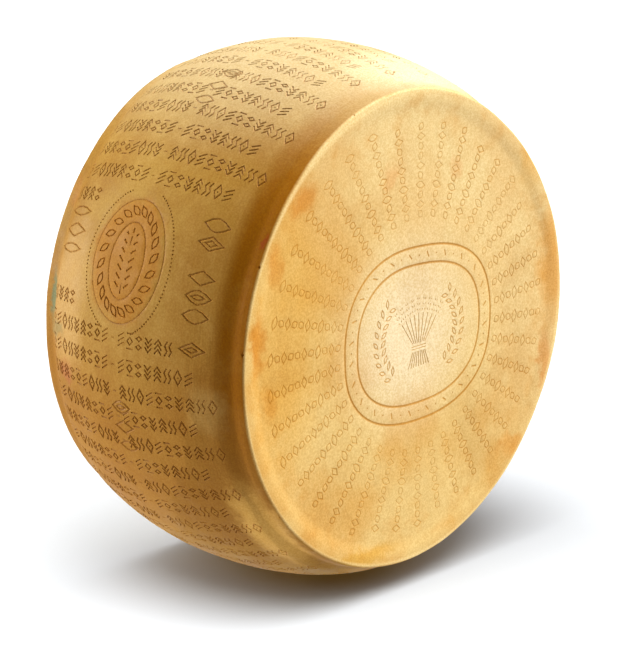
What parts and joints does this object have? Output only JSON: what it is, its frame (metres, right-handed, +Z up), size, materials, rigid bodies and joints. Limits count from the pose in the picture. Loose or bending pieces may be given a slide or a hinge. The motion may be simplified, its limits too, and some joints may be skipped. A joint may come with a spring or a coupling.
{
  "type": "hard cheese wheel",
  "caption": "Whole wheel of hard aged cheese with a bulging barrel, dished faces and a stamped golden rind, standing on its barrel.",
  "frame": {"origin": "middle of the base of the bounding box, on the small flat of the barrel that the wheel rests on", "axes": "+Z up, +Y along the wheel's axis from the front face to the back face, +X to the right seen from the front; the oval seal is on the -X side of the barrel"},
  "size_m": [0.4496, 0.226, 0.4506],
  "materials": {
    "rind": "dry waxy rind with a soft sheen, golden and browned towards the rims"
  },
  "bodies": {
    "root": {"cheese_wheel": "rind"}
  },
  "joints": []
}
